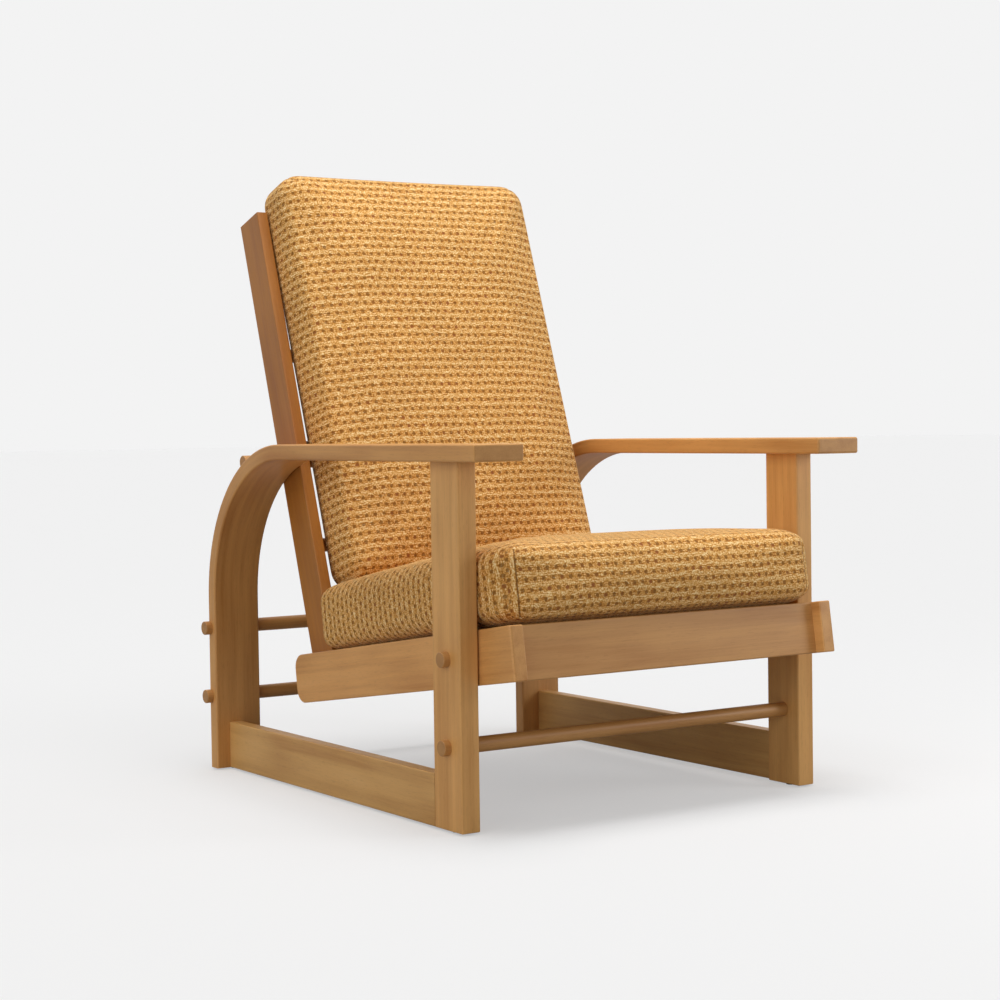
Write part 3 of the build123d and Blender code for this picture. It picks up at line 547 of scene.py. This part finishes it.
def cushion_mesh(name, counts, form, settle, origin, along, outward):
    """A cushion object with its cloth map and, for each point, its distance to the nearest corner seam."""
    corners, quads, faces, rings = block_lattice(counts)
    points = cushion_points(corners, counts, **form)
    arcs = lattice_arcs(corners, counts, points)
    uv = cloth_map(rings, faces, counts, arcs)
    # Along the two sides beside a corner, the distance to that corner's seam. Elsewhere a metre.
    on_side = [np.isin(corners[:, axis], (0, counts[axis])) for axis in (0, 1)]
    to_end = [arcs[axis][-1] - np.abs(arcs[axis][corners[:, axis]]) for axis in (0, 1)]
    wrap = arcs[0][-1] - arcs[0][-1 - wrapped_cells]
    to_seam = np.where(on_side[0], to_end[1] + wrap, 1.0)
    to_seam = np.where(on_side[1], np.abs(to_end[0] - wrap), to_seam)
    points = settle(points)
    mesh = bpy.data.meshes.new(name)
    mesh.from_pydata(place_points(points, origin, along, outward).tolist(), [], quads.tolist())
    layer = mesh.uv_layers.new(name="weave")
    layer.data.foreach_set("uv", uv.reshape(-1))
    seam = mesh.attributes.new("to_seam", "FLOAT", "POINT")
    seam.data.foreach_set("value", to_seam.astype(np.float32))
    mesh.polygons.foreach_set("use_smooth", np.ones(len(quads), bool))
    cushion = bpy.data.objects.new(name, mesh)
    scene.collection.objects.link(cushion)
    # What the corners, the tight edges and the frame below hold while the cushion fills, from 0 to 1 in tenths
    near_corner = np.maximum(to_end[0], to_end[1])
    hold = np.exp(-((near_corner / corner_hold_reach) ** 2))
    hold = np.maximum(hold, np.where(corners[:, 2] == 0, base_hold, 0.0))
    on_edge = np.sum([np.isin(corners[:, axis], (0, counts[axis])) for axis in (0, 1, 2)], axis=0) > 1
    hold = np.maximum(hold, np.where(on_edge, edge_hold, 0.0))
    group = cushion.vertex_groups.new(name="held")
    for tenths in range(1, 11):
        group.add(np.flatnonzero(np.round(10 * hold) == tenths).tolist(), tenths / 10, "REPLACE")
    print(name, len(points), "points, cloth", [round(2 * a[-1], 3) for a in arcs[:2]])
    return cushion


# %% [markdown]
# ## Filling the cushions
#
# A filled cushion swells until the cloth holds it back. The cloth solver does that: the closed mesh gets an
# inner pressure and no gravity, and runs for twenty steps. What a point may move is capped, and afterwards
# the cushion is kept off the frame under it and between the posts or uprights beside it. The solver's
# result is written into the mesh and its modifier taken off.


# %% Cloth simulation
def coordinates(mesh):
    """A mesh's points as an array."""
    found = np.zeros(len(mesh.vertices) * 3)
    mesh.vertices.foreach_get("co", found)
    return found.reshape(-1, 3)


def fill(cushion, pressure, most, steps=20):
    """Swells a cushion with the cloth solver, each point by at most the given distance."""
    rest = coordinates(cushion.data)
    modifier = cushion.modifiers.new("filling", "CLOTH")
    cloth = modifier.settings
    cloth.quality = 5
    cloth.mass = 0.3
    cloth.tension_stiffness = cloth.compression_stiffness = 15
    cloth.shear_stiffness = 5
    cloth.bending_stiffness = 0.5
    cloth.use_pressure = True
    cloth.uniform_pressure_force = pressure
    cloth.effector_weights.gravity = 0
    cloth.vertex_group_mass = "held"
    modifier.collision_settings.use_collision = False
    for step in range(1, steps + 1):
        scene.frame_set(step)
    solved = coordinates(cushion.evaluated_get(bpy.context.evaluated_depsgraph_get()).data)
    cushion.modifiers.remove(modifier)
    scene.frame_set(1)
    moved = solved - rest
    length = np.linalg.norm(moved, axis=1, keepdims=True)
    print(cushion.name, "swelled by", np.percentile(length, (5, 50, 95, 100)).round(4), "m")
    moved *= np.minimum(1, most / np.maximum(length, 1e-9))
    cushion.data.vertices.foreach_set("co", (rest + moved).ravel())
    cushion.data.update()


def keep_in_room(cushion, origin, along, outward, base, room, depth):
    """Keeps a cushion above its base and between two walls as far as they reach. Past them it may spread."""
    axes = np.array([(1.0, 0.0, 0.0), tuple(along), tuple(outward)])
    points = (coordinates(cushion.data) - np.array(origin)) @ axes.T
    points[:, 2] = np.maximum(points[:, 2], base)
    limit = room + np.maximum(points[:, 2] - depth, 0)
    points[:, 0] = np.clip(points[:, 0], -limit, limit)
    cushion.data.vertices.foreach_set("co", place_points(points, origin, along, outward).ravel())
    cushion.data.update()


def subdivided(cushion, levels):
    """Replaces the mesh by its smoothed subdivision."""
    modifier = cushion.modifiers.new("smooth", "SUBSURF")
    modifier.levels = modifier.render_levels = levels
    graph = bpy.context.evaluated_depsgraph_get()
    finer = bpy.data.meshes.new_from_object(cushion.evaluated_get(graph))
    cushion.modifiers.remove(modifier)
    cushion.data = finer


def sew_corners(cushion, depth, width):
    """Draws the cloth in at the corner seams by depth * exp(-(distance / width)^2), against the normal."""
    mesh = cushion.data
    distance = np.zeros(len(mesh.vertices), np.float32)
    mesh.attributes["to_seam"].data.foreach_get("value", distance)
    normals = np.zeros(len(mesh.vertices) * 3, np.float32)
    mesh.vertex_normals.foreach_get("vector", normals)
    inward = depth * np.exp(-((distance / width) ** 2))
    points = coordinates(mesh) - normals.reshape(-1, 3) * inward[:, None]
    mesh.vertices.foreach_set("co", points.ravel())
    mesh.update()


# %% [markdown]
# ## The seat cushion
#
# It lies on the slats and the rails, between the posts. It is fullest near the front, where the knees bend,
# and lower at the rear, where the back cushion stands on it.

# %% Seat cushion
seat_low, seat_high = -112 * MM, 423 * MM
seat_cells = (78, 74, 14)
seat_base = 36.3 * MM
seat_rear_drop, seat_drop_power = 14 * MM, 2.1
seat_drop_height = 104 * MM
seat_aside = -1 * MM


def settle_seat(points):
    """Puts the form in its place and lowers its upper face by the drop times a power of the way to the rear."""
    points = points.copy()
    points[:, 1] += (seat_low + seat_high) / 2
    share = np.clip((points[:, 1] - seat_low) / (seat_high - seat_low), 0, 1)
    upper = np.clip(points[:, 2] / seat_drop_height, 0, 1)
    points[:, 2] -= seat_rear_drop * share**seat_drop_power * upper
    points[:, 2] += seat_base
    points[:, 0] += seat_aside
    return points


seat_form = {
    "half": (287.5 * MM, (seat_high - seat_low) / 2),
    "thickness": 112 * MM,
    "corner_round": (60 * MM, 30 * MM),
    "edge_round": (24 * MM, 23 * MM),
    "crown": 13.5 * MM,
    "flatness": 4,
    "draw": 2 * MM,
}
seat_place = (hinges["seat_tilt"], along_seat, off_seat)
seat_cushion = cushion_mesh("seat_cushion_cover", seat_cells, seat_form, settle_seat, *seat_place)

# %% [markdown]
# ## The back cushion
#
# It leans on the rungs between the uprights and stands on the seat cushion. It is long and a little
# narrower at its foot, and it sits a touch crooked.

# %% Back cushion
back_low, back_high = 134 * MM, 825 * MM
back_cells = (68, 96, 13)
back_base = 1.8 * MM
back_thickness = 99 * MM
face_widening = top_widening = 0.003
back_turn = math.radians(0.6)
back_aside = 2.5 * MM


def settle_back(points):
    """Widens the form towards its face and its top, and puts it in its place a little askew."""
    points = points.copy()
    upper = np.clip(points[:, 2] / back_thickness, 0, 1)
    points[:, 0] *= 1 + face_widening * upper + top_widening * points[:, 1] / back_form["half"][1]
    x, y = points[:, 0].copy(), points[:, 1].copy()
    points[:, 0] = x * math.cos(back_turn) - y * math.sin(back_turn) + back_aside
    points[:, 1] = x * math.sin(back_turn) + y * math.cos(back_turn) + (back_low + back_high) / 2
    points[:, 2] += back_base
    return points


back_form = {
    "half": (239 * MM, (back_high - back_low) / 2),
    "thickness": back_thickness,
    "corner_round": (31 * MM, 42 * MM),
    "edge_round": (19 * MM, 36 * MM),
    "crown": 10 * MM,
    "flatness": 4,
    "draw": 1 * MM,
}
back_place = (hinges["back_recline"], along_back, off_back)
back_cushion = cushion_mesh("back_cushion_cover", back_cells, back_form, settle_back, *back_place)

# %% Fill, smooth and sew both
post_room, post_reach = 289 * MM, 200 * MM
upright_room, upright_reach = 243 * MM, 33 * MM
seat_room = (*seat_place, seat_base, post_room, post_reach)
back_room = (*back_place, back_base, upright_room, upright_reach)
for cushion, room in ((seat_cushion, seat_room), (back_cushion, back_room)):
    fill(cushion, pressure=0.8, most=9 * MM)
    keep_in_room(cushion, *room)
    subdivided(cushion, 1)
    sew_corners(cushion, depth=1.8 * MM, width=3.2 * MM)
    cushion.data.materials.clear()
    cushion.data.materials.append(cloth_finish)
    print(cushion.name, len(cushion.data.polygons), "faces")

# %% [markdown]
# ## Joining the cushions to the chair
#
# Each cushion moves with the frame that carries it and stands for its plain drawn block, which is then not
# shown.

# %% Bodies and hidden blocks
for cushion, body, block in (
    (seat_cushion, "seat_frame", "seat_cushion"),
    (back_cushion, "back_frame", "back_cushion"),
):
    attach(cushion, body)
    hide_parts(block)

# %% [markdown]
# ## Floor and light
#
# The chair stands in a white photo studio. A broad lamp straight overhead lights every part of the floor
# alike and puts the shadow under the chair. A soft box hangs above the front of the seat, turned to the
# back, so the top of the back gets more light than its foot. A wide wall of light on the left gives the
# left faces their tone, and a second soft box stands at the right front. The sky of the scene adds a weak
# white light from all sides.
#
# The floor is large enough to run out of sight. Cameras see some of its own glow, so that it comes out
# white round the chair and pale grey in the shadow. That glow is for the camera alone and lights nothing.


# %% Studio
def lamp(name, kind, place, target, energy, **settings):
    """A lamp at a place, turned to a target."""
    data = bpy.data.lights.new(name, kind)
    data.energy = energy
    for setting, value in settings.items():
        setattr(data, setting, value)
    holder = bpy.data.objects.new(name, data)
    holder.location = place
    holder.rotation_euler = (Vector(target) - Vector(place)).to_track_quat("-Z", "Y").to_euler()
    scene.collection.objects.link(holder)


# A sun lamp of strength pi shows a white face turned to it as white
overhead_share, left_share = 0.58, 0.345
soft_box_watts, front_watts = 5.8, 10.5
soft_box_height = 1.6
lamp("overhead", "SUN", (0, -0.05, 4), (0, 0, 0), overhead_share * math.pi, angle=math.radians(32))
lamp("left_wall", "SUN", (-3, -0.8, 1.2), (0, 0, 0.4), left_share * math.pi, angle=math.radians(60))
lamp("front_wall", "AREA", (1.6, -1.6, 0.9), (0.1, -0.2, 0.4), front_watts, shape="DISK", size=0.9)
soft_box_place = (-0.1, -0.35, soft_box_height)
lamp("soft_box", "AREA", soft_box_place, (0, 0.25, 0.75), soft_box_watts, shape="DISK", size=0.8)

# %% Floor
floor_share = 0.4
floor_glow = 0.437
soft_box_share = 0.083
soft_box_foot = (-0.08, -0.2, 0.0)
floor_reach = 60.0
floor_corners = [(x * floor_reach, y * floor_reach, 0) for x, y in ((-1, -1), (1, -1), (1, 1), (-1, 1))]
floor_mesh = bpy.data.meshes.new("studio_floor")
floor_mesh.from_pydata(floor_corners, [], [(0, 1, 2, 3)])
floor = bpy.data.objects.new("studio_floor", floor_mesh)
scene.collection.objects.link(floor)
floor_paint, tree, shader = new_material("white_studio_paint")
shader.inputs["Base Color"].default_value = (floor_share, floor_share, floor_share, 1.0)
shader.inputs["Roughness"].default_value = 0.9
shader.inputs["Specular IOR Level"].default_value = 0.0
shader.inputs["Emission Color"].default_value = (1.0, 1.0, 1.0, 1.0)
seen = add(tree, "LightPath", out="Is Camera Ray")
# At r from the point below it, a lamp at height h gives 1 / (1 + r^2 / h^2)^2 of its full light on the floor.
# The glow makes up for that loss.
spread = add(tree, "TexCoord", out="Object")
spread = add(tree, "VectorMath", {0: spread, 1: soft_box_foot}, operation="SUBTRACT")
per_height = (1 / soft_box_height, 1 / soft_box_height, 0.0)
ratio = add(tree, "VectorMath", {0: spread, 1: per_height}, operation="MULTIPLY")
ratio = add(tree, "VectorMath", {0: ratio, 1: ratio}, out="Value", operation="DOT_PRODUCT")
remaining = add(tree, "Math", {0: ratio, 1: 1.0}, operation="ADD")
remaining = add(tree, "Math", {0: remaining, 1: -2.0}, operation="POWER")
full_glow = floor_glow + soft_box_share
glow = add(tree, "Math", {0: remaining, 1: -soft_box_share, 2: full_glow}, operation="MULTIPLY_ADD")
glow = add(tree, "Math", {0: glow, 1: seen}, operation="MULTIPLY")
tree.links.new(glow, shader.inputs["Emission Strength"])
floor.data.materials.append(floor_paint)
print("floor half width", floor_reach, "m")

# %% Sky
paper_tone = linear("#F3F3F3")
sky_strength = 0.22
sky = bpy.data.worlds.new("studio_walls")
sky.use_nodes = True
scene.world = sky
tree = sky.node_tree
tree.nodes.clear()
rays = add(tree, "LightPath").node.outputs
seen = add(tree, "Math", {0: rays["Is Camera Ray"], 1: rays["Is Glossy Ray"]}, operation="MAXIMUM")
seen = add(tree, "Math", {0: seen, 1: rays["Is Transmission Ray"]}, operation="MAXIMUM")
light = add(tree, "Background", {"Color": (1.0, 1.0, 1.0, 1.0), "Strength": sky_strength})
shown = add(tree, "Background", {"Color": paper_tone, "Strength": 1.0})
add(tree, "OutputWorld", {"Surface": add(tree, "MixShader", {0: seen, 1: light, 2: shown})})
print("sky strength", sky_strength)
